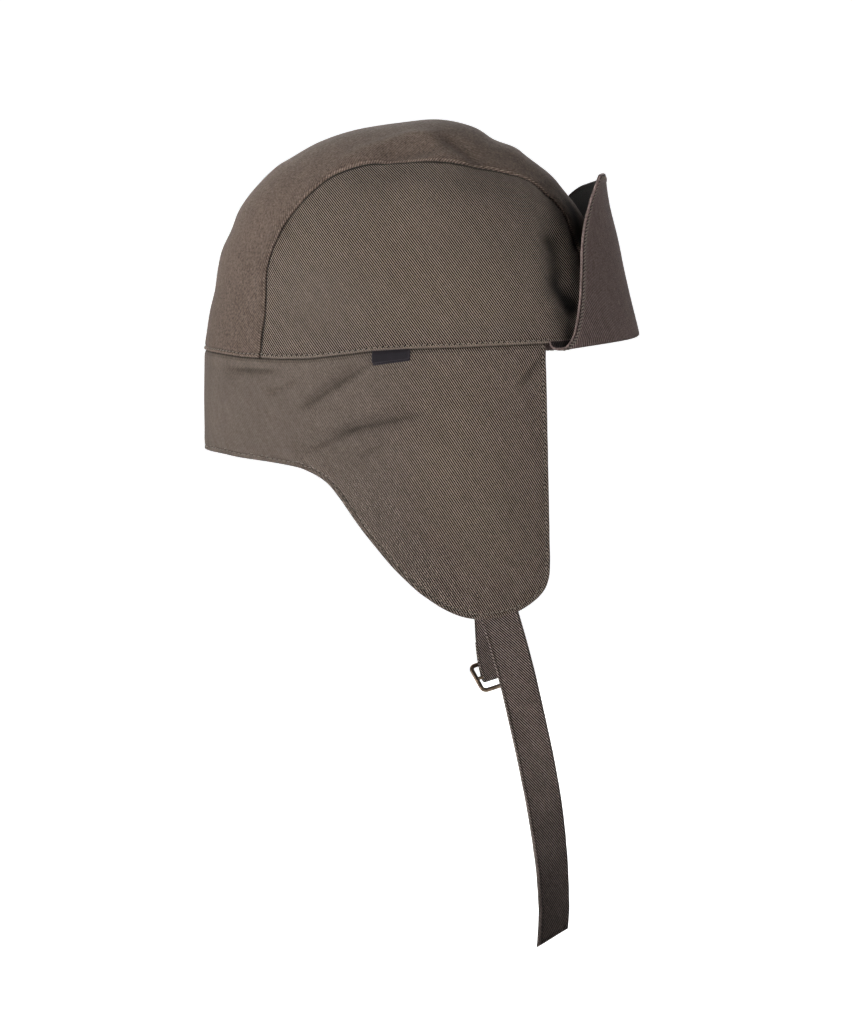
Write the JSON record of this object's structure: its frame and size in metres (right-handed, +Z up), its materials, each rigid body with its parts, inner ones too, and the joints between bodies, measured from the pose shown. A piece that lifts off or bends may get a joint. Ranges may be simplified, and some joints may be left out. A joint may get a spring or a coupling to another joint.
{
  "type": "trooper hat",
  "caption": "Twill trooper hat with a panelled crown, a band that falls into ear flaps, a turned-up front flap, and a chin strap with a slide buckle.",
  "frame": {"origin": "middle of the head opening, level with the seam between the crown and the ear band", "axes": "+X to the front, +Y to the wearer's left, +Z up through the crown"},
  "size_m": [0.2161, 0.1591, 0.3981],
  "materials": {
    "crown_twill": "matte cotton twill, fine weave",
    "side_twill": "matte cotton twill with a clear diagonal line",
    "flap_twill": "matte cotton twill, a little greyer",
    "strap_twill": "matte cotton twill, doubled",
    "label_weave": "fine woven satin",
    "buckle_metal": "aged, dark brown in the hollows"
  },
  "bodies": {
    "root": {"crown_centre_panel": "crown_twill", "crown_side_panel_right": "side_twill", "crown_side_panel_left": "side_twill", "ear_neck_band": "side_twill", "front_flap": "flap_twill", "long_strap": "strap_twill", "short_strap": "strap_twill", "label_tab": "label_weave", "slide_buckle": "buckle_metal"}
  },
  "joints": []
}
